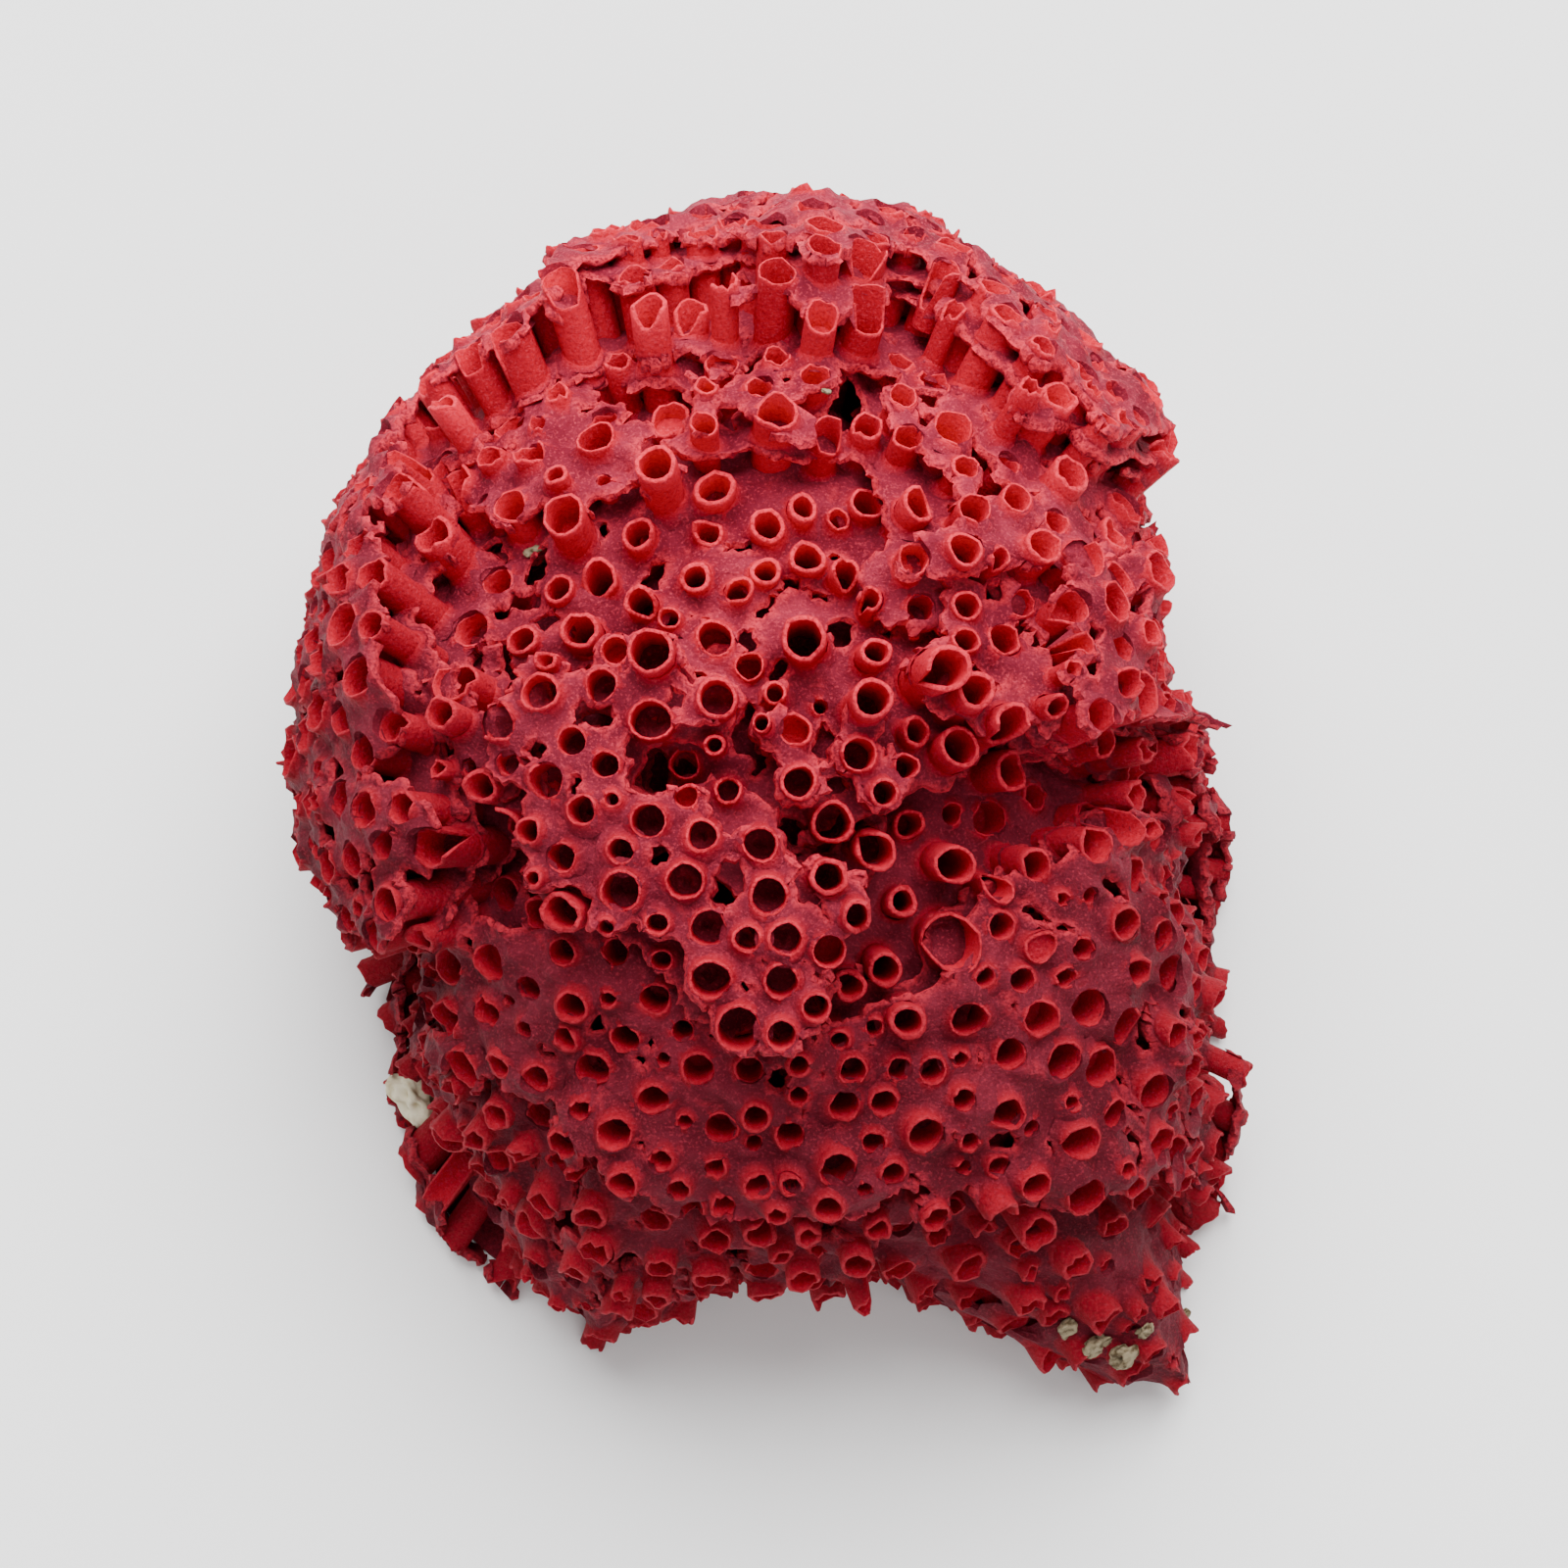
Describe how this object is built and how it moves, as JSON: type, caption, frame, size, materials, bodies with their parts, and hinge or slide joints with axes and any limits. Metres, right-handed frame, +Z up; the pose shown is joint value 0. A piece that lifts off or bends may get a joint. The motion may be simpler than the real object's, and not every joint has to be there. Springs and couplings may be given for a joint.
{
  "type": "red coral fragment",
  "caption": "Domed lump of red organ-pipe coral: round open tubes tied by thin floors that have broken back in steps, cut off flat underneath.",
  "frame": {"origin": "on the flat cut that it rests on, under the middle of the dome", "axes": "+Z up from the flat cut, -Y to the side that the dome leans towards, +X to the right seen from there"},
  "size_m": [0.0454, 0.0511, 0.0282],
  "materials": {
    "coral_red": "matte, faintly waxy crimson skeleton with paler broken edges",
    "shell_cream": "matte chalky cream shell"
  },
  "bodies": {
    "root": {"coral": "coral_red", "shell_crumb": "shell_cream"}
  },
  "joints": []
}
